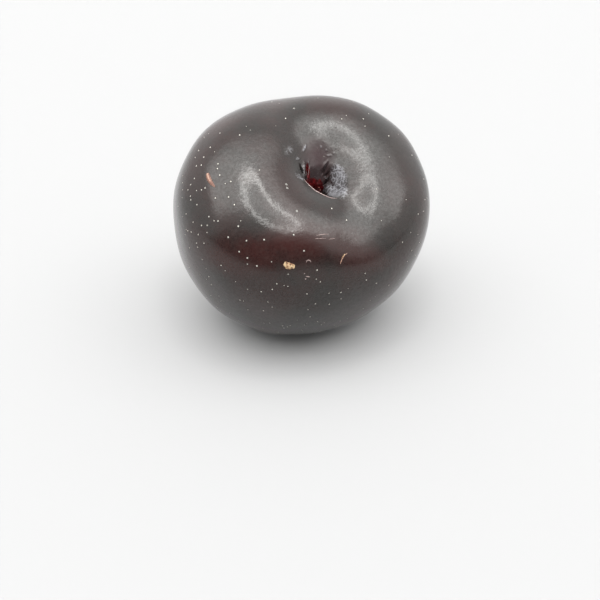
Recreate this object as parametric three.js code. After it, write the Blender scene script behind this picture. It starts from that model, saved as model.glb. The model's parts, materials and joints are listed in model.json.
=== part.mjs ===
// A ripe black plum, whole, with its stalk pulled out.
// It lies tipped on a small flattened spot, so that the stem basin looks forwards and up.
// Millimetres, +Z up, -Y is the front. The plum stands on Z = 0, and the origin is below its middle.
import * as THREE from "three";

// The flesh's own axes: Z runs from the tip to the stem end, and the suture lies on the +Y side.
const CHEEK_HALF = 30.1; // centre to either cheek, along X
const SUTURE_HALF = 28.2; // centre to the suture, along Y
const STEM_HALF = 28.6; // centre to the stem end, before it is sunk
const TIP_HALF = 27.1; // centre to the tip
const FULLNESS = 2.09; // 2 is an ellipsoid, and more is squarer

// Two shoulders stand up on the cheek sides of the stem end.
const SHOULDER_HEIGHT = 1.7;
const SHOULDER_POLAR = 0.97; // radians from the stem axis
const SHOULDER_SPREAD = 0.33;
const HIGHER_CHEEK = 0.008; // share by which the -X cheek stands higher at the stem end

// The suture is a soft groove from the basin to the tip.
const SUTURE_DEPTH = 0.67;
const SUTURE_WIDTH = 8.2;
const SUTURE_FADE = 3; // how sharply the groove ends on the far side of the axis

// The stem end sinks in a wide saucer with a deeper basin in it.
// A power below 2 makes the hollow more pointed. Its radius varies round its middle:
// lean is once round, towards +X and +Y, and oval is twice round.
const SINK_CENTRE = [1.5, 1.6];
const SAUCER = { depth: 3.5, radius: 16.7, power: 2, lean: [0.03, 0], oval: [0.17, 0.03] };
const BASIN = { depth: 7.9, radius: 8.4, power: 1.44, lean: [0, -0.1], oval: [-0.05, 0.01] };
const SINK_FADE = 0.3; // the sink fades out over this cosine of the angle from the stem axis

// The brim round the basin dips at the suture, beside it, and in front.
// Directions are degrees round the axis, and spreads are radians.
const BRIM_DIPS = [
  { depth: 0.9, towards: 105, spread: 0.44, offAxis: 13.6, width: 7.3 },
  { depth: 0.7, towards: 65, spread: 0.67, offAxis: 12, width: 7.6 },
  { depth: 1.9, towards: -77, spread: 0.5, offAxis: 14.2, width: 8.5 },
];

// The stalk left a torn funnel with a deeper hole at its floor.
const FUNNEL = { centre: [1.6, -1.2], depth: 3, floorRadius: 1, rimRadius: 5 };
const HOLE = { centre: [1, -1.4], depth: 3, floorRadius: 0.8, rimRadius: 2.3 };

// The tip has a shallow dimple.
const TIP_DIMPLE_DEPTH = 0.7;
const TIP_DIMPLE_RADIUS = 3.6;

// How it lies: turned about +Z, tipped forwards, and spun on its own axis, in degrees.
const TURN = 18.6;
const TILT = 35.2;
const SPIN = 4.5;

// Its weight presses a flat spot into the underside, and the skin rolls over into it.
const FLAT_SPOT_DEPTH = 0.9;
const SPOT_EDGE_ROLL = 0.2;

const MERIDIANS = 96;
const ROWS = 60;
const ROW_CROWDING = 1.5; // above 1 brings the rows closer together at the basin

const SKIN_COLOUR = 0x3b2a2d;
const SKIN = new THREE.MeshStandardMaterial({ name: "plum_skin", color: SKIN_COLOUR, roughness: 0.42 });

function smoothStep(low, high, value) {
  const t = THREE.MathUtils.clamp((value - low) / (high - low), 0, 1);
  return t * t * (3 - 2 * t);
}

// 1 in the middle, falling off as a bell curve of the given width.
function bell(distance, width) {
  return Math.exp(-((distance / width) ** 2));
}

// The skin's distance from the centre in the direction of a unit vector, before its ends are sunk.
function fleshRadius(across, along, up) {
  const half = up > 0 ? STEM_HALF : TIP_HALF;
  const power =
    Math.abs(across / CHEEK_HALF) ** FULLNESS +
    Math.abs(along / SUTURE_HALF) ** FULLNESS +
    Math.abs(up / half) ** FULLNESS;
  const body = power ** (-1 / FULLNESS);

  const polar = Math.acos(THREE.MathUtils.clamp(up, -1, 1));
  const offAxis = Math.hypot(across, along);
  const cheekward = offAxis > 0 ? (across / offAxis) ** 2 : 0;
  const shoulder = SHOULDER_HEIGHT * cheekward * bell(polar - SHOULDER_POLAR, SHOULDER_SPREAD);

  const sutureSide = THREE.MathUtils.clamp(along * SUTURE_FADE, 0, 1);
  const stemward = (1 + up) / 2;
  const suture = SUTURE_DEPTH * sutureSide * bell(across * body, SUTURE_WIDTH) * stemward;

  return (body - suture + shoulder) * (1 - HIGHER_CHEEK * across * up);
}

function hollowDepth(hollow, offAxis, angle) {
  const lean = hollow.lean[0] * Math.cos(angle) + hollow.lean[1] * Math.sin(angle);
  const oval = hollow.oval[0] * Math.cos(2 * angle) + hollow.oval[1] * Math.sin(2 * angle);
  return hollow.depth * Math.exp(-((offAxis / (hollow.radius * (1 + lean + oval))) ** hollow.power));
}

function brimDepth(dip, offAxis, angle) {
  const past = angle - THREE.MathUtils.degToRad(dip.towards);
  const turned = THREE.MathUtils.euclideanModulo(past + Math.PI, 2 * Math.PI) - Math.PI;
  return dip.depth * bell(turned, dip.spread) * bell(offAxis - dip.offAxis, dip.width);
}

function pitDepth(pit, x, y) {
  const fromMiddle = Math.hypot(x - pit.centre[0], y - pit.centre[1]);
  return pit.depth * (1 - smoothStep(pit.floorRadius, pit.rimRadius, fromMiddle));
}

// How far the stem end is sunk along its axis, at a place off that axis.
function stemSink(x, y) {
  const offAxis = Math.hypot(x - SINK_CENTRE[0], y - SINK_CENTRE[1]);
  const angle = Math.atan2(y - SINK_CENTRE[1], x - SINK_CENTRE[0]);
  let depth = hollowDepth(SAUCER, offAxis, angle) + hollowDepth(BASIN, offAxis, angle);
  for (const dip of BRIM_DIPS) depth += brimDepth(dip, offAxis, angle);
  return depth;
}

function skinPoint(direction) {
  const point = direction.clone().multiplyScalar(fleshRadius(direction.x, direction.y, direction.z));
  if (direction.z > 0) {
    point.z -= smoothStep(0, SINK_FADE, direction.z) * stemSink(point.x, point.y);
    point.z -= pitDepth(FUNNEL, point.x, point.y) + pitDepth(HOLE, point.x, point.y);
  } else {
    point.z += TIP_DIMPLE_DEPTH * bell(Math.hypot(point.x, point.y), TIP_DIMPLE_RADIUS);
  }
  return point;
}

// A unit sphere whose rows crowd towards the stem end, with each point moved out to the skin.
function plumGeometry() {
  const profile = [];
  for (let row = 0; row <= ROWS; row++) {
    const polar = Math.PI * (1 - (1 - row / ROWS) ** ROW_CROWDING);
    profile.push(new THREE.Vector2(Math.sin(polar), -Math.cos(polar)));
  }
  profile[0].set(0, -1);
  profile[ROWS].set(0, 1);
  const geometry = new THREE.LatheGeometry(profile, MERIDIANS).rotateX(Math.PI / 2);
  const position = geometry.getAttribute("position");
  const direction = new THREE.Vector3();
  for (let i = 0; i < position.count; i++) {
    direction.fromBufferAttribute(position, i).normalize();
    position.setXYZ(i, ...skinPoint(direction));
  }
  return geometry;
}

// The height of the pressed skin, from its height above the flat spot before it was pressed.
function pressedHeight(height) {
  if (height <= 0) return 0;
  if (height < 2 * SPOT_EDGE_ROLL) return height ** 2 / (4 * SPOT_EDGE_ROLL);
  return height - SPOT_EDGE_ROLL;
}

// Turns the plum as it lies, presses its underside flat, and sets it on Z = 0 over the origin.
function layDown(geometry) {
  const lying = new THREE.Euler(THREE.MathUtils.degToRad(TILT), 0, THREE.MathUtils.degToRad(TURN), "ZXY");
  geometry.rotateZ(THREE.MathUtils.degToRad(SPIN));
  geometry.applyMatrix4(new THREE.Matrix4().makeRotationFromEuler(lying));
  geometry.computeBoundingBox();
  const floor = geometry.boundingBox.min.z + FLAT_SPOT_DEPTH;
  const middle = geometry.boundingBox.getCenter(new THREE.Vector3());
  const position = geometry.getAttribute("position");
  for (let i = 0; i < position.count; i++) {
    position.setZ(i, pressedHeight(position.getZ(i) - floor));
  }
  geometry.translate(-middle.x, -middle.y, 0);
  geometry.computeVertexNormals();
  return geometry;
}

const plum = new THREE.Mesh(layDown(plumGeometry()), SKIN);
plum.name = "plum";

const fruit = new THREE.Group();
fruit.add(plum);
export default fruit;
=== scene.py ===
"""A ripe black plum whose stalk was pulled out: its skin, torn stem pit, pores and small scars.

Lengths are millimetres until a mesh is made. The fruit's own axes are X across the cheeks, Y towards
the suture and Z up the stem axis. Places in the photograph are pixels of its 600 x 600 frame.
"""

import json
import math

import bpy
import numpy as np
from mathutils import Euler, Matrix, Vector
from mathutils import noise as noise_field
from mathutils.bvhtree import BVHTree


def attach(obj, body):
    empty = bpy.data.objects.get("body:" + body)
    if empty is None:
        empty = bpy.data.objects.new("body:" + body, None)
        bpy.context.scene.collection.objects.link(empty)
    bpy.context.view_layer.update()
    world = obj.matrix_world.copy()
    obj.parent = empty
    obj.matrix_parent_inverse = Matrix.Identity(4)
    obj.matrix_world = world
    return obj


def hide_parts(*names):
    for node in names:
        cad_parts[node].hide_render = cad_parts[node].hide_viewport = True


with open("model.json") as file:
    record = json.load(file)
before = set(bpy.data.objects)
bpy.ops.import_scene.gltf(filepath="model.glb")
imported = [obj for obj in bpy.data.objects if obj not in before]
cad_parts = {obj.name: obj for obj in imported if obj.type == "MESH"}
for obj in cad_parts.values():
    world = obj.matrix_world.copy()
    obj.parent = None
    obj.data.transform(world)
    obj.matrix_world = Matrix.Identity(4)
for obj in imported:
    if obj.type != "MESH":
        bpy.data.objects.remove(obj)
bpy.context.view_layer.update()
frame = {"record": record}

MM = 0.001
TINY = 1e-9
NODE = frame["record"]["subparts"][0]["node"]

# The fruit's form, with the sizes that its solid has.
CHEEK_HALF = 30.1
SUTURE_HALF = 28.2
STEM_HALF = 28.6
TIP_HALF = 27.1
FULLNESS = 2.09
SHOULDER_HEIGHT = 1.7
SHOULDER_POLAR = 0.97
SHOULDER_SPREAD = 0.33
HIGHER_CHEEK = 0.008
SUTURE_DEPTH = 0.67
SUTURE_WIDTH = 8.2
SUTURE_FADE = 3

# The stem end sinks in a wide saucer with a deeper basin in it.
# A power below 2 makes the hollow more pointed. Its radius varies round its middle:
# lean is once round, towards +X and +Y, and oval is twice round.
SINK_CENTRE = (1.5, 1.6)
SAUCER = {"depth": 3.5, "radius": 16.7, "power": 2, "lean": (0.03, 0), "oval": (0.17, 0.03)}
BASIN = {"depth": 7.9, "radius": 8.4, "power": 1.44, "lean": (0, -0.1), "oval": (-0.05, 0.01)}
SINK_FADE = 0.3

# The brim round the basin dips at the suture, beside it, and in front.
# Directions are degrees round the axis, and spreads are radians.
BRIM_DIPS = (
    {"depth": 0.9, "towards": 105, "spread": 0.44, "off_axis": 13.6, "width": 7.3},
    {"depth": 0.7, "towards": 65, "spread": 0.67, "off_axis": 12, "width": 7.6},
    {"depth": 1.9, "towards": -77, "spread": 0.5, "off_axis": 14.2, "width": 8.5},
)
TIP_DIMPLE_DEPTH = 0.7
TIP_DIMPLE_RADIUS = 3.6

# How it lies, in degrees, and how its weight flattens the underside.
TURN = 18.6
TILT = 35.2
SPIN = 4.5
FLAT_SPOT_DEPTH = 0.9
SPOT_EDGE_ROLL = 0.2

# The torn pit is a funnel with a deeper hole. In front the skin folds over it along a torn lip.
FUNNEL = {"centre": (1.6, -1.2), "depth": 3.0, "floor_radius": 1.0, "rim_radius": 5.0}
HOLE = {"centre": (1.0, -1.4), "depth": 3.0, "floor_radius": 0.8, "rim_radius": 2.3}
TORN_LIP = (
    (304.1, 179.2),
    (306.6, 182.4),
    (309.9, 185.9),
    (315.6, 190.7),
    (320.4, 193.4),
    (325.7, 196.0),
    (331.5, 197.9),
    (337.0, 198.6),
)
LIP_DROP_WIDTH = 0.7
LIP_REACH = 12.0  # how far the fold goes on, straight, beyond either end of the lip

# Slits torn in the pit's wall, as two pixels, half width and depth. A ridge has a depth below 0.
# The last one is a broad soft ridge in the skin to the right of the pit.
CREASES = (
    ((300.3, 164.4), (302.7, 173.0), 0.20, 0.9),
    ((308.0, 164.5), (306.4, 179.0), 0.26, 1.2),
    ((327.6, 163.4), (321.8, 174.4), 0.20, 0.9),
    ((330.0, 171.0), (324.0, 176.5), 0.18, 0.7),
    ((330.0, 177.3), (322.8, 185.9), 0.20, 0.9),
    ((304.6, 163.0), (304.4, 176.5), 0.32, -0.5),
    ((325.6, 163.0), (321.0, 171.0), 0.20, -0.3),
    ((328.2, 177.0), (323.3, 181.6), 0.20, -0.4),
    ((347.0, 150.0), (351.0, 184.0), 3.0, -0.22),
)

# Rubbed wax with raised curls: middle pixel, half width, half height, tilt in degrees, and strength.
WAX_PATCHES = (
    ((338.5, 178.0), 8.0, 14.0, 8, 1.0),
    ((331.5, 190.5), 8.5, 5.5, -15, 1.0),
    ((341.0, 190.0), 6.5, 8.5, 30, 0.9),
    ((304.0, 169.0), 1.5, 8.0, 0, 0.5),
    ((299.5, 176.8), 5.5, 2.4, -38, 0.7),
    ((308.5, 163.0), 0.8, 4.0, 0, 0.4),
    ((289.2, 150.2), 4.4, 5.4, -20, 0.5),
    ((297.5, 158.5), 2.2, 1.8, 0, 0.6),
    ((304.4, 148.2), 1.3, 4.2, -22, 0.75),
    ((329.0, 155.5), 2.2, 1.2, 0, 0.45),
    ((326.2, 150.5), 0.9, 1.4, 0, 0.4),
    ((333.5, 153.0), 1.0, 1.0, 0, 0.4),
    ((325.5, 165.5), 0.9, 5.0, -20, 0.45),
    ((326.8, 178.8), 3.4, 1.0, -42, 0.55),
    ((320.9, 146.7), 0.8, 1.2, 0, 0.9),
    ((301.2, 115.5), 3.0, 6.0, 10, 0.5),
)

# Wax that lies smooth, given in the same way.
SMOOTH_WAX = (
    ((330.5, 187.5), 5.0, 7.0, 25, 0.36),
    ((334.0, 194.0), 8.0, 3.5, -12, 0.45),
)

# Where the skin is torn away and red flesh shows, given in the same way.
FLESH_PATCHES = (
    ((308.0, 172.0), 1.7, 9.0, 4, 1.0),
    ((314.5, 185.5), 9.5, 6.0, -32, 1.0),
    ((321.0, 184.5), 2.2, 6.0, 20, 0.8),
)

# Where the skin is redder, given in the same way.
BLUSH_PATCHES = (
    ((272.0, 250.0), 62.0, 17.0, 8, 1.0),
    ((345.0, 252.0), 40.0, 12.0, -12, 0.55),
    ((212.0, 118.0), 26.0, 16.0, 35, 0.45),
    ((312.0, 150.0), 12.0, 12.0, 0, 0.5),
    ((400.0, 175.0), 16.0, 34.0, 0, 0.4),
)

# Where the skin is dusty maroon inside the pit, and where its bloom blurs reflections.
DUSTY_PATCHES = (
    ((318.0, 160.0), 12.5, 18.0, 8, 0.55),
    ((318.0, 176.0), 8.0, 12.0, 0, 0.5),
)
BLURRED_PATCHES = (
    ((346.0, 158.0), 44.0, 60.0, 0, 1.0),
)
CURLS_PER_MM = 1.6
CURL_HEIGHT = 0.12
WANDER_SHIFTS = ((0.0, 0.0, 0.0), (31.4, 7.9, 12.6), (5.3, 47.1, 26.8))
STEM_REACH = 11.0  # millimetres off the stem axis within which wax and flesh patches may lie
WHOLE_REACH = CHEEK_HALF * 2

# Slow waves in the skin: three wave vectors in radians per millimetre, and their heights.
WAVES = (
    ((0.31, 0.17, 0.23), 0.7, 0.07),
    ((-0.22, 0.38, 0.11), 2.1, 0.06),
    ((0.45, -0.29, 0.37), 4.0, 0.03),
)

MERIDIANS = 360
ROW_BANDS = ((0.0, 17.5, 104), (17.5, 32.0, 30), (32.0, 180.0, 104))

# The camera of the photograph: degrees, millimetres from the fruit's middle, and pixels.
CAMERA_ELEVATION = 29.6
CAMERA_DISTANCE = 139.0
CAMERA_PITCH = 37.9
FOCAL_PIXELS = 563.0
FRAME_PIXELS = 600
SENSOR_WIDTH = 36.0
AIM_DROP = 0.06

# Scars in the photograph, as pixels along each one.
COMMA_SCAR = ((207.3, 173.2), (207.9, 176), (209.3, 179.6), (211.6, 183.4), (215, 187.2))
CORKY_PATCH = (289.0, 265.8)
CORKY_HOLES = ((290.1, 264.6), (286.3, 262.9), (291.9, 267.4))
ARCHED_SCAR = ((306.2, 262.6), (307, 260.8), (308.8, 260.3), (310.4, 261), (310.9, 262.4))
LOW_SCARS = (
    ((305.8, 276.3), (307.5, 276.6), (310.3, 277.1)),
    ((305, 279.3), (306.2, 278.7)),
    ((304.2, 273.4), (304.7, 274)),
)
LONG_PRONG = ((340.4, 264.2), (341.2, 261.2), (342.8, 257.6), (344.6, 255), (347.4, 253.3))
SHORT_PRONG = ((341.6, 259.3), (343.2, 256.2), (345, 253.8))
FINE_SCRATCHES = (
    ((316.2, 235.4), (320, 234.8), (324.5, 234.3), (329, 234.2)),
    ((314.8, 238.7), (320, 238.5), (326, 238.3)),
    ((328.6, 239.2), (332, 238.8), (335.2, 238.0)),
)
PALE_BLOBS = ((286.4, 184.4), (297.0, 211.0), (287.3, 188.0))
FLESH_LUMPS = ((320.2, 190.2), (319.0, 187.6))
DARK_SPECKS = ((319.4, 246.8), (323.8, 245.6), (329.2, 246.6), (256.8, 214.2), (233.5, 205.5))

# The larger pores that show in the photograph, as pixels.
SEEN_PORES = (
    (210.3, 147.3), (239.6, 135.0), (294.0, 108.3), (388.7, 135.9), (412.0, 155.2), (264.1, 239.7),
    (239.2, 251.7), (304.0, 250.8), (317.1, 270.1), (221.1, 265.4), (204.0, 243.3), (201.5, 225.4),
    (207.1, 225.4), (218.0, 221.0), (208.9, 216.6), (201.5, 189.9), (188.0, 189.9), (190.8, 199.9),
    (196.9, 204.7), (230.8, 181.5), (228.5, 196.9), (234.3, 204.7), (238.3, 226.3), (198.3, 234.7),
    (189.6, 247.8), (202.4, 259.6), (293.6, 234.7), (346.6, 220.1), (331.7, 208.4), (418.2, 214.0),
    (208.9, 276.6), (211.5, 284.7), (272.4, 289.4), (261.2, 291.7), (239.9, 300.0), (315.4, 303.8),
    (329.2, 304.3), (376.4, 283.2), (366.3, 280.1), (276.8, 283.8), (217.9, 163.8), (195.2, 157.5),
    (198.5, 150.6), (203.7, 157.2), (196.4, 166.0), (201.2, 165.2), (217.5, 168.6), (219.8, 175.1),
    (194.3, 178.5), (190.7, 184.6), (205.0, 188.0), (190.4, 196.2), (186.2, 213.9), (193.2, 222.2),
    (187.8, 230.8), (191.3, 232.1), (196.6, 243.1), (197.6, 247.3), (215.3, 198.1), (228.2, 237.2),
    (246.4, 240.7), (247.4, 258.0), (206.1, 297.7), (210.9, 295.4), (256.9, 266.0),
)
SEEN_PORE_RADIUS = 0.20

# The ridges of scar: name, paths, half width, height, points along a path, head, and material.
# A head below 1 moves the widest part towards the start.
SCAR_RIDGES = (
    ("comma_scar", (COMMA_SCAR,), 0.52, 0.08, 18, 0.6, "scar_orange"),
    ("comma_scar_top", (COMMA_SCAR[:4],), 0.26, 0.12, 12, 0.7, "scar_pale"),
    ("arched_scar", (ARCHED_SCAR,), 0.11, 0.05, 14, 1.0, "scratch"),
    ("low_scars", LOW_SCARS, 0.13, 0.05, 14, 1.0, "scratch"),
    ("long_prong", (LONG_PRONG,), 0.11, 0.07, 14, 0.8, "scar_pale"),
    ("short_prong", (SHORT_PRONG,), 0.08, 0.12, 14, 1.0, "scar_cork"),
    ("fine_scratches", FINE_SCRATCHES, 0.055, 0.02, 14, 1.0, "scratch"),
)
SCAR_SUNK = 0.06
LIP_HALF_WIDTH = 0.12
LIP_HEIGHT = 0.10
LIP_SUNK = 0.12
LIP_POINTS = 40

# The small caps: radius, height above the skin, and how far the edge is sunk.
CORKY_HOLE = (0.17, 0.18, 0.05)
FLESH_LUMP = (0.20, 0.10, 0.10)
DARK_SPECK = (0.12, 0.03, 0.03)

# The scabs: radii, tilt in degrees, and height.
CORKY_SCAB = ((1.12, 0.84), -28, 0.11)
PALE_SCAB = ((0.24, 0.34), 30, 0.07)

# Their uneven edge: how far each swell stands out, how many times it comes round, and its phase.
SCAB_EDGE = ((0.14, 2, 1), (0.10, 3, 0), (0.07, 7, 2))

# Materials of two colours in spots: both colours, spots per millimetre, and roughness.
SPOTTED = {
    "scar_orange": ((0.21, 0.115, 0.085), (0.14, 0.06, 0.04), 3.0, 0.6),
    "scar_pale": ((0.42, 0.27, 0.20), (0.30, 0.16, 0.11), 3.0, 0.6),
    "scar_cork": ((0.20, 0.09, 0.04), (0.56, 0.40, 0.23), 1.7, 0.75),
    "scratch": ((0.20, 0.14, 0.13), (0.34, 0.26, 0.24), 2.5, 0.5),
    "blob": ((0.13, 0.125, 0.11), (0.27, 0.26, 0.24), 3.0, 0.5),
    "torn_edge": ((0.36, 0.27, 0.25), (0.24, 0.17, 0.165), 1.5, 0.5),
}

# Materials of one colour, with their roughness.
PLAIN = {
    "scar_hole": ((0.02, 0.008, 0.006), 0.8),
    "pale_flesh": ((0.36, 0.10, 0.08), 0.4),
    "pore": ((0.52, 0.50, 0.44), 0.55),
    "pore_rim": ((0.012, 0.006, 0.007), 0.75),
}

PORE_COUNT = 620
PORE_RADII = (0.10, 0.21)
PORE_HEIGHT = 0.035
PORE_SIDES = 8
PORE_SUNK = 0.02
PORE_RIM_SCALE = 1.7
PORE_RIM_HEIGHT = 0.010
PORE_RIM_SIDES = 12
PORES_ABOVE = 1.5
SEED = 5


# The studio. Places and sizes overhead are shares of the height above the fruit.
PANEL_HEIGHT = 2.0  # metres
PANEL_MIDDLE = (0.035, -0.42)
PANEL_RADII = (0.27, 0.35)
PANEL_RADIANCE = 0.5
RIM_WIDTH = 0.08
RIM_RADIANCE = 9.5
CEILING_MIDDLE = (0.095, -0.2)
CEILING_HALF = (1.38, 0.46)
CEILING_SOFTNESS = 0.26
CEILING_RADIANCE = 2.75
HORIZON_RADIANCE = 1.03
UPPER_WALL_RADIANCE = 1.3
UPPER_WALL = (0.1, 0.5)
FRONT_RADIANCE = 0.10
FRONT_SHADE = (0.28, 0.68)
FRONT_SLOPE = -0.45
LEAST_HEIGHT = 0.02
FLOOR_REACH = 6.0  # metres
FLOOR_ROUGHNESS = 0.9
FLOOR_ALBEDO = 0.36
# Painted shade: the floor's colour in reflections and bounced light in front of the fruit, while the camera
# sees it pale.
FLOOR_PAINTED_SHADE = 0.10
FLOOR_SHADE = (0.04, 0.40)  # metres in front of the fruit


def smooth_step(low, high, value):
    t = np.clip((value - low) / (high - low), 0, 1)
    return t * t * (3 - 2 * t)


def bell(distance, width):
    """1 in the middle, falling off as a bell curve of the given width."""
    return np.exp(-((distance / width) ** 2))


def flesh_radius(across, along, up):
    """The skin's distance from the fruit's middle along unit vectors, before its ends are sunk."""
    half = np.where(up > 0, STEM_HALF, TIP_HALF)
    power = (
        np.abs(across / CHEEK_HALF) ** FULLNESS
        + np.abs(along / SUTURE_HALF) ** FULLNESS
        + np.abs(up / half) ** FULLNESS
    )
    body = power ** (-1 / FULLNESS)
    polar = np.arccos(np.clip(up, -1, 1))
    cheekward = across**2 / np.maximum(across**2 + along**2, TINY)
    shoulder = SHOULDER_HEIGHT * cheekward * bell(polar - SHOULDER_POLAR, SHOULDER_SPREAD)
    suture_side = np.clip(along * SUTURE_FADE, 0, 1)
    stemward = (1 + up) / 2
    suture = SUTURE_DEPTH * suture_side * bell(across * body, SUTURE_WIDTH) * stemward
    return (body - suture + shoulder) * (1 - HIGHER_CHEEK * across * up)


def hollow_depth(hollow, off_axis, angle):
    lean = hollow["lean"][0] * np.cos(angle) + hollow["lean"][1] * np.sin(angle)
    oval = hollow["oval"][0] * np.cos(2 * angle) + hollow["oval"][1] * np.sin(2 * angle)
    radius = hollow["radius"] * (1 + lean + oval)
    return hollow["depth"] * np.exp(-((off_axis / radius) ** hollow["power"]))


def brim_depth(dip, off_axis, angle):
    turned = (angle - math.radians(dip["towards"]) + np.pi) % (2 * np.pi) - np.pi
    return dip["depth"] * bell(turned, dip["spread"]) * bell(off_axis - dip["off_axis"], dip["width"])


def stem_sink(x, y):
    """How far the stem end is sunk along its axis, without the torn pit."""
    off_axis = np.hypot(x - SINK_CENTRE[0], y - SINK_CENTRE[1])
    angle = np.arctan2(y - SINK_CENTRE[1], x - SINK_CENTRE[0])
    depth = hollow_depth(SAUCER, off_axis, angle) + hollow_depth(BASIN, off_axis, angle)
    for dip in BRIM_DIPS:
        depth = depth + brim_depth(dip, off_axis, angle)
    return depth


def round_pit(pit, x, y):
    from_middle = np.hypot(x - pit["centre"][0], y - pit["centre"][1])
    return pit["depth"] * (1 - smooth_step(pit["floor_radius"], pit["rim_radius"], from_middle))


def segment_distance(x, y, start, end):
    """How far each place lies from a straight line, and how far along it, from 0 to 1."""
    run = (end[0] - start[0], end[1] - start[1])
    along = np.clip(((x - start[0]) * run[0] + (y - start[1]) * run[1]) / (run[0] ** 2 + run[1] ** 2), 0, 1)
    return np.hypot(x - start[0] - along * run[0], y - start[1] - along * run[1]), along


def inside_lip(x, y):
    """How far each place lies on the pit's side of the torn lip: below 0 on the skin's side."""
    nearest = np.full(np.shape(x), np.inf)
    inside = np.zeros(np.shape(x))
    for start, end in zip(lip_line[:-1], lip_line[1:]):
        gap, _ = segment_distance(x, y, start, end)
        turn = (end[0] - start[0]) * (y - start[1]) - (end[1] - start[1]) * (x - start[0])
        inside = np.where(gap < nearest, np.sign(turn) * gap, inside)
        nearest = np.minimum(gap, nearest)
    return inside


def pit_depth(x, y):
    """How far the torn pit lies below the smooth basin, before it is creased."""
    depth = round_pit(FUNNEL, x, y) + round_pit(HOLE, x, y)
    return depth * smooth_step(0, LIP_DROP_WIDTH, inside_lip(x, y))


def creased_pit_depth(x, y):
    depth = pit_depth(x, y)
    for start, end, half_width, deepest in creases:
        gap, along = segment_distance(x, y, start, end)
        depth = depth + deepest * np.sin(np.pi * (0.85 * along + 0.1)) * bell(gap, half_width)
    return depth


def own_skin(polar, around, depth=None):
    """Points of the skin in the fruit's own axes, with the given pit or with none."""
    across = np.sin(polar) * np.cos(around)
    along = np.sin(polar) * np.sin(around)
    up = np.cos(polar)
    radius = flesh_radius(across, along, up)
    x = across * radius
    y = along * radius
    z = up * radius
    for wave, phase, height in WAVES:
        radius = radius + height * np.sin(wave[0] * x + wave[1] * y + wave[2] * z + phase)
    x = across * radius
    y = along * radius
    dimple = TIP_DIMPLE_DEPTH * bell(np.hypot(x, y), TIP_DIMPLE_RADIUS) * (up < 0)
    z = up * radius - smooth_step(0, SINK_FADE, up) * stem_sink(x, y) + dimple
    if depth:
        z = z - np.where(up > 0, depth(x, y), 0)
    return np.stack([x, y, z], -1)


def lying_matrix():
    return np.array(
        Matrix.Rotation(math.radians(TURN), 3, "Z")
        @ Matrix.Rotation(math.radians(TILT), 3, "X")
        @ Matrix.Rotation(math.radians(SPIN), 3, "Z")
    )


LYING = lying_matrix()


def pressed_height(height):
    rolled = height**2 / (4 * SPOT_EDGE_ROLL)
    return np.where(height < 2 * SPOT_EDGE_ROLL, np.where(height > 0, rolled, 0), height - SPOT_EDGE_ROLL)


def lay_down(own):
    """Own-axes points as they lie on the floor, in the part's frame."""
    turned = own @ LYING.T
    height = pressed_height(turned[..., 2] - floor)
    return np.stack([turned[..., 0] - middle[0], turned[..., 1] - middle[1], height], -1)


def rows_of_polar():
    bands = [np.radians(np.linspace(low, high, count, endpoint=False)) for low, high, count in ROW_BANDS]
    return np.concatenate(bands)[1:]


polar_rows = rows_of_polar()
around_columns = np.arange(MERIDIANS) * 2 * np.pi / MERIDIANS
grid_polar, grid_around = np.meshgrid(polar_rows, around_columns, indexing="ij")
smooth_own = own_skin(grid_polar, grid_around)
turned_grid = smooth_own.reshape(-1, 3) @ LYING.T
middle = (turned_grid.min(0) + turned_grid.max(0)) / 2
floor = turned_grid[:, 2].min() + FLAT_SPOT_DEPTH


def skin_frames(polar, around):
    """Part-frame points of the skin with their outward normals."""
    step = 1e-3
    point = lay_down(own_skin(polar, around))
    down = lay_down(own_skin(polar + step, around)) - point
    side = lay_down(own_skin(polar, around + step)) - point
    normal = np.cross(down, side)
    return point, normal / np.linalg.norm(normal, axis=-1, keepdims=True)


def mesh_object(name, points, faces, material, smooth=True):
    mesh = bpy.data.meshes.new(name)
    mesh.from_pydata((np.asarray(points) * MM).tolist(), [], faces)
    mesh.polygons.foreach_set("use_smooth", [smooth] * len(mesh.polygons))
    mesh.materials.append(material)
    mesh.attributes.new("place", "FLOAT_VECTOR", "POINT").data.foreach_set("vector", np.ravel(points))
    mesh.update()
    piece = bpy.data.objects.new(name, mesh)
    bpy.context.scene.collection.objects.link(piece)
    return piece


def dress(piece, replaces=False):
    """Every piece moves with the fruit's one body."""
    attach(piece, "root")
    if replaces:
        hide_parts(NODE)


def add_node(tree, kind, inputs=None, **settings):
    node = tree.nodes.new(kind)
    for name, value in settings.items():
        setattr(node, name, value)
    for socket, value in (inputs or {}).items():
        if isinstance(value, bpy.types.NodeSocket):
            tree.links.new(value, node.inputs[socket])
        else:
            node.inputs[socket].default_value = value
    return node


def blank_material(name):
    material = bpy.data.materials.new(name)
    material.use_nodes = True
    tree = material.node_tree
    return material, tree, tree.nodes["Principled BSDF"]


def maths(tree, operation, first, second=0.0, third=0.0, clamp=False):
    inputs = {0: first, 1: second}
    if operation in ("MULTIPLY_ADD", "SMOOTH_MIN"):
        inputs[2] = third
    return add_node(tree, "ShaderNodeMath", inputs, operation=operation, use_clamp=clamp).outputs[0]


def colour_mix(tree, share, first, second):
    node = tree.nodes.new("ShaderNodeMix")
    node.data_type = "RGBA"
    for socket, value in ((node.inputs[0], share), (node.inputs[6], first), (node.inputs[7], second)):
        if isinstance(value, bpy.types.NodeSocket):
            tree.links.new(value, socket)
        else:
            socket.default_value = value
    return node.outputs[2]


def remap(tree, value, low, high, to_low=0.0, to_high=1.0):
    node = add_node(
        tree,
        "ShaderNodeMapRange",
        {"Value": value, "From Min": low, "From Max": high, "To Min": to_low, "To Max": to_high},
        interpolation_type="SMOOTHSTEP",
    )
    return node.outputs[0]


def noise(tree, place, per_mm, detail=3.0, roughness=0.55, distortion=0.0):
    inputs = {"Vector": place, "Scale": per_mm, "Detail": detail, "Roughness": roughness}
    inputs["Distortion"] = distortion
    return add_node(tree, "ShaderNodeTexNoise", inputs).outputs[0]


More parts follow.
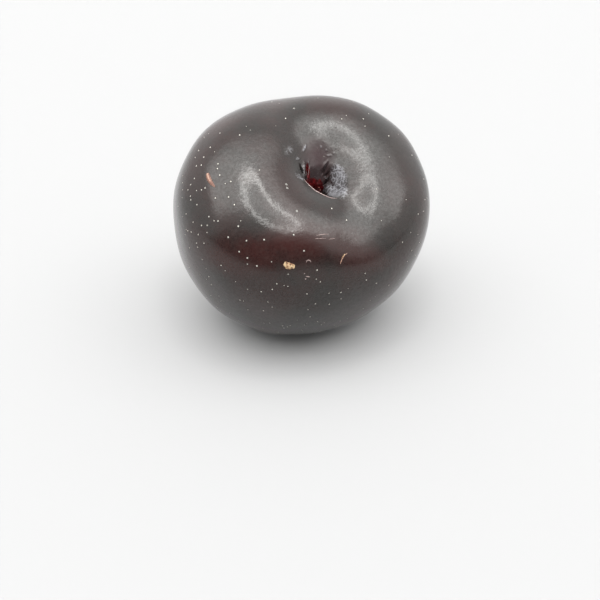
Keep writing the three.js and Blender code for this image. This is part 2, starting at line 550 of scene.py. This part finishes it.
# The skin's colours.
NEAR_BLACK = (0.0125, 0.0108, 0.0100, 1)
MAROON = (0.021, 0.0095, 0.0088, 1)
RED_BLUSH = (0.034, 0.0098, 0.0088, 1)
WAX_GREY = (0.24, 0.24, 0.255, 1)
BLOOM_GREY = (0.25, 0.24, 0.22, 1)
FLESH_RED = (0.085, 0.005, 0.006, 1)
FLESH_DARK = (0.030, 0.002, 0.003, 1)
DUSTY_MAROON = (0.085, 0.056, 0.060, 1)
SPECULAR_TINT = (0.99, 0.98, 0.95, 1)

# The skin's roughness, with what mottling, wax, blurring and dust add to it.
ROUGHNESS = 0.09
MOTTLED_ROUGHNESS = 0.10
WAX_ROUGHNESS = 0.28
BLURRED_ROUGHNESS = 0.07
DUSTY_ROUGHNESS = 0.15

# The skin's low relief, in millimetres.
GRAIN_HEIGHT = 0.013
DIMPLE_HEIGHT = 0.045
WAX_HEIGHT = 0.04
STREAK_SHRINK = 0.12  # draws the streaks out along the stem axis


def skin_material():
    material, tree, shader = blank_material("plum_skin")
    place = add_node(tree, "ShaderNodeAttribute", attribute_name="fruit").outputs["Vector"]
    wax_here = add_node(tree, "ShaderNodeAttribute", attribute_name="wax").outputs["Fac"]
    torn_here = add_node(tree, "ShaderNodeAttribute", attribute_name="torn").outputs["Fac"]
    blush_here = add_node(tree, "ShaderNodeAttribute", attribute_name="blush").outputs["Fac"]
    dust_here = add_node(tree, "ShaderNodeAttribute", attribute_name="dust").outputs["Fac"]
    blur_here = add_node(tree, "ShaderNodeAttribute", attribute_name="blur").outputs["Fac"]

    # Broad blotches of maroon under the near-black skin, with finer mottling and faint lengthwise streaks.
    blotches = noise(tree, place, 0.075, 2.0)
    mottling = noise(tree, place, 0.9, 4.0, 0.6)
    stretch = {0: place, 1: (1.0, 1.0, STREAK_SHRINK)}
    stretched = add_node(tree, "ShaderNodeVectorMath", stretch, operation="MULTIPLY").outputs[0]
    streaks = noise(tree, stretched, 0.8, 3.0)
    redness = maths(tree, "MULTIPLY_ADD", mottling, 0.45, remap(tree, blotches, 0.30, 0.70, 0.05, 0.75))
    redness = maths(tree, "MULTIPLY_ADD", streaks, 0.35, redness)
    skin = colour_mix(tree, remap(tree, redness, 0.42, 1.25), NEAR_BLACK, MAROON)
    blush = maths(tree, "MULTIPLY", blush_here, remap(tree, redness, 0.35, 1.0, 0.45, 1.0))
    skin = colour_mix(tree, blush, skin, RED_BLUSH)

    # A thin grey bloom of wax lies over it in patches.
    bloom_noise = noise(tree, place, 0.22, 5.0, 0.65)
    bloom = remap(tree, bloom_noise, 0.42, 0.78, 0.0, 0.02)
    speckle = noise(tree, place, 1.7, 4.0, 0.7)
    bloom = maths(tree, "ADD", bloom, remap(tree, speckle, 0.40, 0.66, 0.0, 0.03))
    skin = colour_mix(tree, bloom, skin, BLOOM_GREY)
    skin = colour_mix(tree, dust_here, skin, DUSTY_MAROON)

    # Rubbed wax by the pit is pale on its curls, and red flesh shows where the pit is torn.
    grains = remap(tree, noise(tree, place, 4.0, 2.0), 0.35, 0.65, 0.75, 1.0)
    wax = maths(tree, "MULTIPLY", wax_here, grains)
    skin = colour_mix(tree, remap(tree, wax, 0.12, 0.85), skin, WAX_GREY)
    torn = remap(tree, maths(tree, "MULTIPLY_ADD", noise(tree, place, 1.6, 3.0), 0.5, torn_here), 0.50, 0.85)
    flesh = colour_mix(tree, remap(tree, noise(tree, place, 0.9, 3.0), 0.35, 0.65), FLESH_DARK, FLESH_RED)
    colour = colour_mix(tree, torn, skin, flesh)
    tree.links.new(colour, shader.inputs["Base Color"])

    roughness = maths(tree, "MULTIPLY_ADD", mottling, MOTTLED_ROUGHNESS, ROUGHNESS)
    roughness = maths(tree, "MULTIPLY_ADD", wax, WAX_ROUGHNESS, roughness)
    roughness = maths(tree, "MULTIPLY_ADD", blur_here, BLURRED_ROUGHNESS, roughness)
    roughness = maths(tree, "MULTIPLY_ADD", dust_here, DUSTY_ROUGHNESS, roughness)
    tree.links.new(roughness, shader.inputs["Roughness"])
    shader.inputs["IOR"].default_value = 1.5
    shader.inputs["Specular Tint"].default_value = SPECULAR_TINT
    tree.links.new(remap(tree, speckle, 0.34, 0.66, 0.62, 0.40), shader.inputs["Specular IOR Level"])

    grain = noise(tree, place, 2.6, 3.0, 0.6)
    dimples = noise(tree, place, 0.55, 3.0, 0.55)
    height = maths(tree, "MULTIPLY", dimples, DIMPLE_HEIGHT)
    height = maths(tree, "MULTIPLY_ADD", grain, GRAIN_HEIGHT, height)
    height = maths(tree, "MULTIPLY_ADD", wax, WAX_HEIGHT, height)
    bump = add_node(tree, "ShaderNodeBump", {"Height": height, "Distance": MM, "Strength": 1.0})
    tree.links.new(bump.outputs[0], shader.inputs["Normal"])
    return material


def plain_material(name):
    colour, roughness = PLAIN[name]
    material, _, shader = blank_material(name)
    shader.inputs["Base Color"].default_value = (*colour, 1)
    shader.inputs["Roughness"].default_value = roughness
    return material


def with_ends(at_stem, grid):
    """Values for the whole skin: the stem point's, then the grid's, then 0 at the tip."""
    return np.concatenate([[at_stem], grid.ravel(), [0.0]])


def skin_piece():
    """A globe of rings round the stem axis, closed by one point at either end."""
    stem_own = own_skin(np.array([TINY]), np.array([0.0]), creased_pit_depth)
    tip_own = own_skin(np.array([np.pi]), np.array([0.0]))
    wax = waxed(grid_own)
    raised = grid_own + wax[..., None] * (0, 0, CURL_HEIGHT)
    own = np.concatenate([stem_own, raised.reshape(-1, 3), tip_own])
    in_pit = inside_lip(grid_own[..., 0], grid_own[..., 1]) > 0
    torn = with_ends(1.0, patch_strength(grid_own, FLESH_PATCHES) * in_pit)
    wax = with_ends(0.0, wax)
    blush = with_ends(0.0, patch_strength(grid_own, BLUSH_PATCHES, 0.9, WHOLE_REACH))
    dust = with_ends(1.0, patch_strength(grid_own, DUSTY_PATCHES, 0.8))
    blur = with_ends(1.0, patch_strength(grid_own, BLURRED_PATCHES, 0.6, WHOLE_REACH))
    rows = len(polar_rows)
    last = len(own) - 1
    faces = []
    corners = []
    across = np.arange(MERIDIANS + 1) / MERIDIANS
    down = np.arange(rows + 2) / (rows + 1)
    between = (across[:-1] + across[1:]) / 2
    for j in range(MERIDIANS):
        k = (j + 1) % MERIDIANS
        faces.append((0, 1 + j, 1 + k))
        corners += [(between[j], 1 - down[0]), (across[j], 1 - down[1]), (across[j + 1], 1 - down[1])]
    for i in range(rows - 1):
        faces += ring_quads(1 + i * MERIDIANS)
        for j in range(MERIDIANS):
            corners += [
                (across[j], 1 - down[i + 1]),
                (across[j], 1 - down[i + 2]),
                (across[j + 1], 1 - down[i + 2]),
                (across[j + 1], 1 - down[i + 1]),
            ]
    ring = 1 + (rows - 1) * MERIDIANS
    for j in range(MERIDIANS):
        k = (j + 1) % MERIDIANS
        faces.append((ring + k, ring + j, last))
        corners += [(across[j + 1], 1 - down[rows]), (across[j], 1 - down[rows]), (between[j], 0.0)]
    piece = mesh_object("skin", lay_down(own), faces, skin_material())
    mesh = piece.data
    mesh.uv_layers.new(name="OFBake").uv.foreach_set("vector", np.asarray(corners).ravel())
    mesh.attributes.new("fruit", "FLOAT_VECTOR", "POINT").data.foreach_set("vector", own.ravel())
    for name, values in (("wax", wax), ("torn", torn), ("blush", blush), ("dust", dust), ("blur", blur)):
        mesh.attributes.new(name, "FLOAT", "POINT").data.foreach_set("value", values)
    dress(piece, replaces=True)
    return piece


def ribbon(points, normals, half_widths, heights, sunk=0.05, sides=8):
    """A low closed ridge along a path on the skin, half buried, with pointed ends."""
    points = np.asarray(points)
    normals = np.asarray(normals)
    run = np.gradient(points, axis=0)
    run /= np.linalg.norm(run, axis=1, keepdims=True)
    across = np.cross(normals, run)
    turn = np.arange(sides) * 2 * np.pi / sides
    rise = np.sin(turn)
    rings = []
    for point, normal, side, width, height in zip(points, normals, across, half_widths, heights):
        lift = np.where(rise > 0, rise * height, rise * sunk)
        rings.append(point + np.outer(np.cos(turn) * width, side) + np.outer(lift, normal))
    faces = []
    for i in range(len(rings) - 1):
        for j in range(sides):
            k = (j + 1) % sides
            faces.append((i * sides + j, i * sides + k, (i + 1) * sides + k, (i + 1) * sides + j))
    faces.append(tuple(range(sides))[::-1])
    faces.append(tuple((len(rings) - 1) * sides + j for j in range(sides)))
    return np.concatenate(rings), faces


def joined(parts):
    """Points and faces of several small meshes as one."""
    points = []
    faces = []
    start = 0
    for part_points, part_faces in parts:
        points.append(part_points)
        faces += [tuple(start + i for i in face) for face in part_faces]
        start += len(part_points)
    return np.concatenate(points), faces


def evenly(path, count):
    """Points at even steps along a smooth curve through a few given ones."""
    path = np.asarray(path, float)
    if len(path) == 2:
        return path[0] + (path[1] - path[0]) * np.linspace(0, 1, count)[:, None]
    steps = np.concatenate([[0], np.cumsum(np.linalg.norm(np.diff(path, axis=0), axis=1))])
    places = np.linspace(0, steps[-1], count)
    padded = np.concatenate([[2 * path[0] - path[1]], path, [2 * path[-1] - path[-2]]])
    result = []
    for place in places:
        i = min(int(np.searchsorted(steps, place, side="right")) - 1, len(path) - 2)
        t = (place - steps[i]) / (steps[i + 1] - steps[i])
        a, b, c, d = padded[i : i + 4]
        square = (2 * a - 5 * b + 4 * c - d) * t**2
        cube = (3 * b - a - 3 * c + d) * t**3
        result.append(0.5 * (2 * b + (c - a) * t + square + cube))
    return np.array(result)


def camera_matrix():
    """The camera's place and turn in the part's frame, in metres."""
    elevation = math.radians(CAMERA_ELEVATION)
    reach = Vector((0, -math.cos(elevation), math.sin(elevation))) * CAMERA_DISTANCE
    fruit_middle = Vector((-middle[0], -middle[1], -floor - SPOT_EDGE_ROLL + AIM_DROP))
    turn = Euler((math.radians(90 - CAMERA_PITCH), 0, 0)).to_matrix().to_4x4()
    return Matrix.Translation((fruit_middle + reach) * MM) @ turn


def camera():
    data = bpy.data.cameras.new("camera")
    data.sensor_width = SENSOR_WIDTH
    data.lens = SENSOR_WIDTH * FOCAL_PIXELS / FRAME_PIXELS
    data.clip_start = 0.005
    data.clip_end = 50
    made = bpy.data.objects.new("camera", data)
    made.matrix_world = camera_matrix()
    bpy.context.scene.collection.objects.link(made)
    bpy.context.scene.camera = made


def seen_at(tree, pixel):
    """The point and normal of a search tree's skin at a pixel of the photograph, in millimetres."""
    view = camera_matrix()
    across = (pixel[0] - FRAME_PIXELS / 2) / FOCAL_PIXELS
    up = (FRAME_PIXELS / 2 - pixel[1]) / FOCAL_PIXELS
    ray = (view.to_3x3() @ Vector((across, up, -1))).normalized()
    point, normal, _, _ = tree.ray_cast(view.translation, ray)
    return np.array(point) / MM, np.array(normal)


def stem_tree(own):
    """A search tree of the stem end, for the grid's rows within STEM_REACH of the axis."""
    rows = int(np.argmax(np.hypot(own[:, 0, 0], own[:, 0, 1]) > STEM_REACH * 1.3))
    points = (lay_down(own[:rows]) * MM).reshape(-1, 3)
    faces = [quad for i in range(rows - 1) for quad in ring_quads(i * MERIDIANS)]
    return BVHTree.FromPolygons(points.tolist(), faces)


def ring_quads(upper):
    """The faces between a ring of the grid and the next one down."""
    for j in range(MERIDIANS):
        k = (j + 1) % MERIDIANS
        yield (upper + j, upper + MERIDIANS + j, upper + MERIDIANS + k, upper + k)


def own_place(tree, pixel):
    """Where a pixel of the photograph lies on the stem end, in the fruit's own x and y."""
    point, _ = seen_at(tree, pixel)
    return ((point + (middle[0], middle[1], floor + SPOT_EDGE_ROLL)) @ LYING)[:2]


def lip_in_own_axes():
    """The torn lip's places, with a straight run on beyond either end."""
    line = [own_place(smooth_tree, pixel) for pixel in TORN_LIP]
    first = line[0] - line[1]
    last = line[-1] - line[-2]
    line.insert(0, line[0] + first / np.linalg.norm(first) * LIP_REACH)
    line.append(line[-1] + last / np.linalg.norm(last) * LIP_REACH)
    return line


def pixels_of(points):
    """Where the camera of the photograph sees the part's points."""
    view = np.array(camera_matrix().inverted())
    local = np.asarray(points) * MM @ view[:3, :3].T + view[:3, 3]
    across = FRAME_PIXELS / 2 - local[..., 0] / local[..., 2] * FOCAL_PIXELS
    down = FRAME_PIXELS / 2 + local[..., 1] / local[..., 2] * FOCAL_PIXELS
    return across, down


def patch_strength(own, patches, softness=0.5, reach=STEM_REACH):
    """How strongly any of the patches covers each point: 1 well inside one, falling off across its edge."""
    across, down = pixels_of(lay_down(own))
    strength = np.zeros(own.shape[:-1])
    for (x, y), half_width, half_height, tilt, most in patches:
        cosine = math.cos(math.radians(tilt))
        sine = math.sin(math.radians(tilt))
        u = ((across - x) * cosine - (down - y) * sine) / half_width
        v = ((across - x) * sine + (down - y) * cosine) / half_height
        strength = np.maximum(strength, most * (1 - smooth_step(1 - softness, 1 + softness, np.hypot(u, v))))
    facing_camera = np.hypot(own[..., 0], own[..., 1]) < np.where(own[..., 2] > 0, reach, 0)
    return strength * facing_camera


def curl(point):
    """1 on the crest of a curl of wax, and 0 between curls."""
    place = Vector(point) * CURLS_PER_MM
    wander = [noise_field.noise(place * 0.9 + Vector(shift)) for shift in WANDER_SHIFTS]
    crest = 1 - 4.0 * abs(noise_field.noise(place + Vector(wander) * 0.5))
    fine = 0.5 + 0.8 * noise_field.noise(place * 3.1)
    return min(max(crest, 0) + 0.25 * fine, 1)


def waxed(own):
    """How much wax lies at each point, with its curls."""
    strength = patch_strength(own, WAX_PATCHES).ravel()
    places = own.reshape(-1, 3)
    wax = np.zeros(len(places))
    for i in np.nonzero(strength > 0.02)[0]:
        wax[i] = strength[i] * (0.34 + 0.66 * curl(places[i]))
    return np.maximum(wax.reshape(own.shape[:-1]), patch_strength(own, SMOOTH_WAX))


def scar(tree, pixels, half_width, height, count, head=1.0, sunk=SCAR_SUNK):
    """A ridge of corky tissue along a few pixels."""
    seen = [seen_at(tree, pixel) for pixel in evenly(pixels, count)]
    points = np.array([point for point, _ in seen])
    normals = np.array([normal for _, normal in seen])
    share = np.sin(np.pi * np.linspace(0.02, 0.97, count) ** head) ** 0.6
    wobble = 1 + 0.15 * np.sin(np.arange(count) * 2.3)
    return ribbon(points, normals, half_width * share * wobble, height * share, sunk)


def mottled_material(name):
    """Two colours in irregular spots."""
    first, second, per_mm, roughness = SPOTTED[name]
    material, tree, shader = blank_material(name)
    place = add_node(tree, "ShaderNodeAttribute", attribute_name="place").outputs["Vector"]
    spots = remap(tree, noise(tree, place, per_mm, 3.0, 0.6), 0.42, 0.58)
    tree.links.new(colour_mix(tree, spots, (*first, 1), (*second, 1)), shader.inputs["Base Color"])
    shader.inputs["Roughness"].default_value = roughness
    return material


def scars(tree):
    used = ("scar_orange", "scar_pale", "scar_cork", "scratch")
    materials = {name: mottled_material(name) for name in used}
    for name, paths, half_width, height, count, head, material in SCAR_RIDGES:
        ridges = [scar(tree, path, half_width, height, count, head) for path in paths]
        dress(mesh_object(name, *joined(ridges), materials[material]))

    scab = lump(tree, *seen_at(tree, CORKY_PATCH), *CORKY_SCAB)
    dress(mesh_object("corky_patch", *scab, materials["scar_cork"]))
    dark = plain_material("scar_hole")
    dress(mesh_object("corky_holes", *joined(caps_at(tree, CORKY_HOLES, CORKY_HOLE)), dark))
    blobs = [lump(tree, *seen_at(tree, pixel), *PALE_SCAB) for pixel in PALE_BLOBS]
    dress(mesh_object("pale_blobs", *joined(blobs), mottled_material("blob")))
    flesh_lumps = caps_at(tree, FLESH_LUMPS, FLESH_LUMP)
    dress(mesh_object("flesh_lumps", *joined(flesh_lumps), plain_material("pale_flesh")))
    dress(mesh_object("dark_specks", *joined(caps_at(tree, DARK_SPECKS, DARK_SPECK)), dark))


def caps_at(tree, pixels, size):
    """Small caps on the skin at a few pixels."""
    return [dome(*seen_at(tree, pixel), *size, PORE_SIDES) for pixel in pixels]


def lump(tree, point, normal, radii, tilt, height, sides=28, rings=5):
    """A low scab with an uneven edge, laid on the skin."""
    level = np.cross((0.0, 0.0, 1.0), normal)
    level /= np.linalg.norm(level)
    upward = np.cross(normal, level)
    tilt = math.radians(tilt)
    points = []
    for ring in range(1, rings + 1):
        share = ring / rings
        for step in range(sides):
            turn = 2 * np.pi * step / sides
            edge = 1
            for swell, lobes, phase in SCAB_EDGE:
                edge += swell * math.sin(lobes * turn + phase)
            across = radii[0] * share * edge * math.cos(turn)
            along = radii[1] * share * edge * math.sin(turn)
            side = level * (across * math.cos(tilt) - along * math.sin(tilt))
            rise = upward * (across * math.sin(tilt) + along * math.cos(tilt))
            start = (point + side + rise + normal) * MM
            hit, hit_normal, _, _ = tree.ray_cast(Vector(start), Vector(-normal))
            lift = height * (1 - share**4) - 0.03 * share**4
            points.append(np.array(hit) / MM + np.array(hit_normal) * lift)
    points.append(point + normal * height)
    faces = []
    for step in range(sides):
        nearby = (step + 1) % sides
        faces.append((step, nearby, rings * sides))
        for ring in range(rings - 1):
            inner = ring * sides
            outer = inner + sides
            faces.append((inner + step, outer + step, outer + nearby, inner + nearby))
    return np.array(points), faces


def dome(point, normal, radius, height, sunk, sides):
    """A low cap on the skin with its edge below it."""
    side = np.cross(normal, (0.3, 0.5, 0.8))
    side /= np.linalg.norm(side)
    other = np.cross(normal, side)
    turn = np.arange(sides) * 2 * np.pi / sides
    ring = np.outer(np.cos(turn), side) + np.outer(np.sin(turn), other)
    outer = point + ring * radius - normal * sunk
    inner = point + ring * radius * 0.6 + normal * height * 0.8
    points = np.concatenate([outer, inner, [point + normal * height]])
    faces = []
    for j in range(sides):
        k = (j + 1) % sides
        faces.append((j, k, sides + k, sides + j))
        faces.append((sides + j, sides + k, 2 * sides))
    return points, faces


def pore_places():
    """Where the pores are: crowded on the cheeks and towards the tip, and few by the stem."""
    chance = np.random.default_rng(SEED)
    polar = np.arccos(chance.uniform(-1, 1, PORE_COUNT * 4))
    around = chance.uniform(0, 2 * np.pi, PORE_COUNT * 4)
    wanted = 0.25 + 0.75 * smooth_step(0.5, 1.5, polar)
    sideways = np.sin(3.1 * np.sin(polar) * np.cos(around) + 1.7)
    clumps = 0.5 + 0.5 * sideways * np.sin(4.3 * np.cos(polar) + 0.6)
    kept = chance.uniform(0, 1, PORE_COUNT * 4) < wanted * (0.45 + 0.55 * clumps)
    size = PORE_RADII[0] + (PORE_RADII[1] - PORE_RADII[0]) * chance.uniform(0, 1, PORE_COUNT * 4) ** 1.8
    return polar[kept][:PORE_COUNT], around[kept][:PORE_COUNT], size[kept][:PORE_COUNT]


def pores(tree):
    polar, around, size = pore_places()
    points, normals = skin_frames(polar, around)
    seen = [seen_at(tree, pixel) for pixel in SEEN_PORES]
    points = np.concatenate([points, [point for point, _ in seen]])
    normals = np.concatenate([normals, [normal for _, normal in seen]])
    size = np.concatenate([size, np.full(len(seen), SEEN_PORE_RADIUS)])
    caps = []
    rims = []
    for point, normal, radius in zip(points, normals, size):
        if point[2] < PORES_ABOVE:
            continue
        caps.append(dome(point, normal, radius, PORE_HEIGHT, PORE_SUNK, PORE_SIDES))
        rim_radius = radius * PORE_RIM_SCALE
        rims.append(dome(point, normal, rim_radius, PORE_RIM_HEIGHT, PORE_SUNK, PORE_RIM_SIDES))
    dress(mesh_object("pores", *joined(caps), plain_material("pore")))
    dress(mesh_object("pore_rims", *joined(rims), plain_material("pore_rim")))


def torn_lip():
    """The pale torn edge of the skin that folds over the pit."""
    lip = scar(smooth_tree, TORN_LIP, LIP_HALF_WIDTH, LIP_HEIGHT, LIP_POINTS, sunk=LIP_SUNK)
    dress(mesh_object("torn_lip", *lip, mottled_material("torn_edge")))


def studio():
    """A floor pale to the camera with painted shade in front for reflections, a bright ceiling with one
    framed light panel, pale walls and a dark room in front.
    """
    floor_mesh = bpy.data.meshes.new("floor")
    corners = [(x * FLOOR_REACH, y * FLOOR_REACH, 0) for x, y in ((-1, -1), (1, -1), (1, 1), (-1, 1))]
    floor_mesh.from_pydata(corners, [], [(0, 1, 2, 3)])
    ground = bpy.data.objects.new("floor", floor_mesh)
    bpy.context.scene.collection.objects.link(ground)
    floor_mesh.materials.append(floor_material())

    panel = bpy.data.lights.new("panel", "AREA")
    panel.shape = "ELLIPSE"
    panel.size, panel.size_y = [2 * radius * PANEL_HEIGHT for radius in PANEL_RADII]
    panel.energy = PANEL_RADIANCE * math.pi**2 * panel.size * panel.size_y / 4
    lamp = bpy.data.objects.new("panel", panel)
    lamp.location = (PANEL_MIDDLE[0] * PANEL_HEIGHT, PANEL_MIDDLE[1] * PANEL_HEIGHT, PANEL_HEIGHT)
    lamp.visible_camera = False
    bpy.context.scene.collection.objects.link(lamp)

    world = bpy.data.worlds.new("walls")
    world.use_nodes = True
    tree = world.node_tree
    background = tree.nodes["Background"]
    direction = add_node(tree, "ShaderNodeTexCoord").outputs["Generated"]
    across, along, upward = add_node(tree, "ShaderNodeSeparateXYZ", {0: direction}).outputs
    walls = remap(tree, upward, *UPPER_WALL, HORIZON_RADIANCE, UPPER_WALL_RADIANCE)
    frontness = maths(tree, "MULTIPLY_ADD", upward, FRONT_SLOPE, maths(tree, "MULTIPLY", along, -1.0))
    shade = remap(tree, frontness, *FRONT_SHADE)
    walls = maths(tree, "MULTIPLY_ADD", shade, maths(tree, "SUBTRACT", FRONT_RADIANCE, walls), walls)
    height = maths(tree, "MAXIMUM", upward, LEAST_HEIGHT)
    overhead = [maths(tree, "DIVIDE", part, height) for part in (across, along)]
    ceiling = maths(tree, "MULTIPLY", ceiling_share(tree, overhead), CEILING_RADIANCE)
    rim = maths(tree, "MULTIPLY", rim_share(tree, overhead), RIM_RADIANCE)
    for_light = maths(tree, "ADD", walls, maths(tree, "ADD", ceiling, rim))
    seen = add_node(tree, "ShaderNodeLightPath").outputs["Is Camera Ray"]
    strength = maths(tree, "MULTIPLY_ADD", seen, maths(tree, "SUBTRACT", 1.0, for_light), for_light)
    tree.links.new(strength, background.inputs["Strength"])
    background.inputs["Color"].default_value = (1, 1, 1, 1)
    bpy.context.scene.world = world


def floor_material():
    """A floor pale to the camera, with painted shade: in reflections and bounced light it is darker towards
    the front.
    """
    material, tree, shader = blank_material("floor")
    place = add_node(tree, "ShaderNodeNewGeometry").outputs["Position"]
    _, along, _ = add_node(tree, "ShaderNodeSeparateXYZ", {0: place}).outputs
    # Painted shade: for all rays but the camera's, the colour falls to the dark value towards the front.
    shade = remap(tree, maths(tree, "MULTIPLY", along, -1.0), *FLOOR_SHADE)
    seen = add_node(tree, "ShaderNodeLightPath").outputs["Is Camera Ray"]
    shade = maths(tree, "MULTIPLY", shade, maths(tree, "SUBTRACT", 1.0, seen))
    pale = (FLOOR_ALBEDO, FLOOR_ALBEDO, FLOOR_ALBEDO, 1)
    dark = (FLOOR_PAINTED_SHADE, FLOOR_PAINTED_SHADE, FLOOR_PAINTED_SHADE, 1)
    tree.links.new(colour_mix(tree, shade, pale, dark), shader.inputs["Base Color"])
    shader.inputs["Roughness"].default_value = FLOOR_ROUGHNESS
    return material


def ceiling_share(tree, overhead):
    """1 for directions that meet the ceiling's bright middle, and 0 well outside it."""
    gaps = []
    for place, centre, half in zip(overhead, CEILING_MIDDLE, CEILING_HALF):
        off_centre = maths(tree, "ABSOLUTE", maths(tree, "SUBTRACT", place, centre))
        gaps.append(maths(tree, "SUBTRACT", off_centre, half))
    return remap(tree, maths(tree, "MAXIMUM", *gaps), -CEILING_SOFTNESS, CEILING_SOFTNESS, 1.0, 0.0)


def rim_share(tree, overhead):
    """1 for directions that meet the bright rim round the panel."""
    squares = []
    for place, centre, radius in zip(overhead, PANEL_MIDDLE, PANEL_RADII):
        share = maths(tree, "DIVIDE", maths(tree, "SUBTRACT", place, centre), radius)
        squares.append(maths(tree, "MULTIPLY", share, share))
    out = maths(tree, "SQRT", maths(tree, "ADD", *squares))
    width = RIM_WIDTH / PANEL_RADII[0]
    inner = remap(tree, out, 1 - width / 4, 1 + width / 4)
    return maths(tree, "MULTIPLY", inner, remap(tree, out, 1 + width * 3 / 4, 1 + width * 5 / 4, 1.0, 0.0))


smooth_tree = stem_tree(smooth_own)
lip_line = lip_in_own_axes()
pit_tree = stem_tree(own_skin(grid_polar, grid_around, pit_depth))
creases = [(own_place(pit_tree, start), own_place(pit_tree, end), *size) for start, end, *size in CREASES]
grid_own = own_skin(grid_polar, grid_around, creased_pit_depth)
skin = skin_piece()
skin_points = [vertex.co for vertex in skin.data.vertices]
skin_tree = BVHTree.FromPolygons(skin_points, [face.vertices for face in skin.data.polygons])
torn_lip()
scars(skin_tree)
pores(skin_tree)
camera()
studio()
bpy.context.scene.view_settings.view_transform = "Standard"
